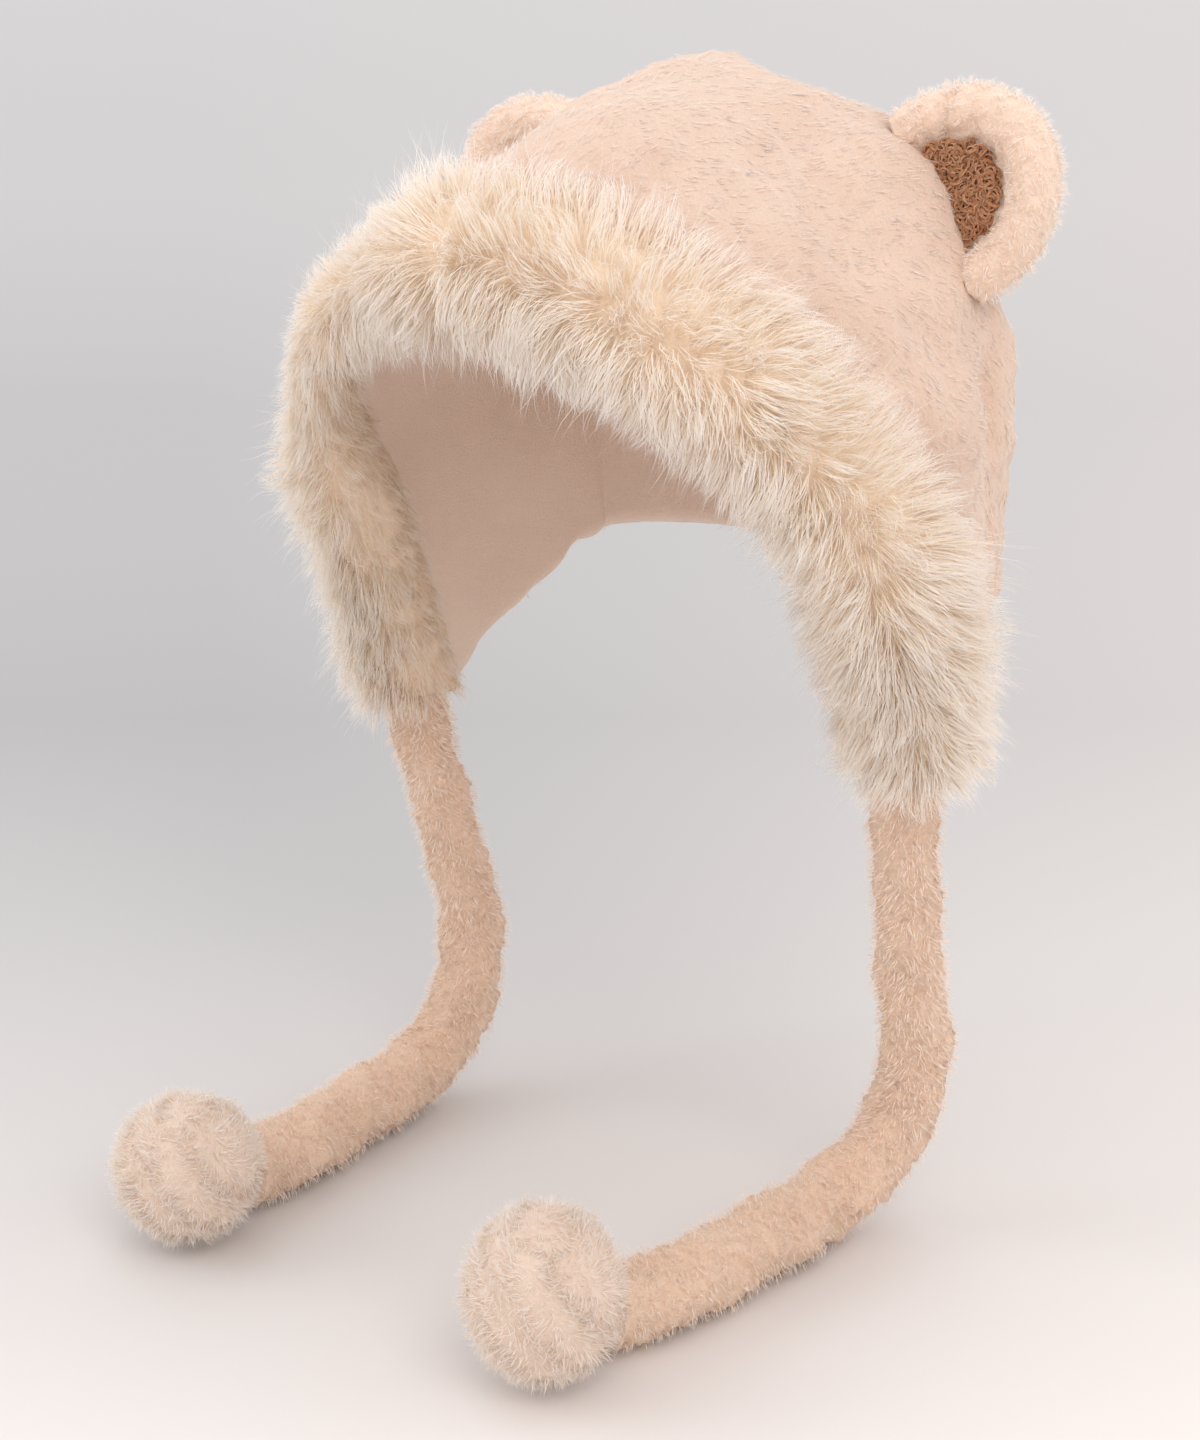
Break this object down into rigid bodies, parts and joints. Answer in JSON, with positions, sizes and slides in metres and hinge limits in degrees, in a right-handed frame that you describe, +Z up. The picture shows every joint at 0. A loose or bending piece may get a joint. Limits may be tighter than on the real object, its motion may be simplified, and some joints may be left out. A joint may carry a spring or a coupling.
{
  "type": "fur balaclava with bear ears",
  "caption": "Plush winter bonnet with bear ears, a deep fur trim round the face and long soft ties that end in pompoms.",
  "frame": {"origin": "the head seat: the middle of the inside of the crown, where the top of the wearer's head touches", "axes": "+Z up out of the crown, -Y out of the face opening, +X towards the wearer's left ear"},
  "size_m": [0.2551, 0.2648, 0.3732],
  "materials": {
    "hood_plush": "short smooth plush, pinkish beige",
    "trim_fur": "long fur in locks, cream beige with browner roots and pale tips",
    "ear_patch": "curly brown plush",
    "tie_plush": "short matted plush, pinkish beige"
  },
  "bodies": {
    "root": {"hood_front": "hood_plush", "hood_back": "hood_plush", "fur_trim": "trim_fur", "ear_left": "hood_plush", "ear_right": "hood_plush", "ear_lining_left": "ear_patch", "ear_lining_right": "ear_patch", "tie_left": "tie_plush", "tie_right": "tie_plush", "pompom_left": "tie_plush", "pompom_right": "tie_plush"}
  },
  "joints": []
}
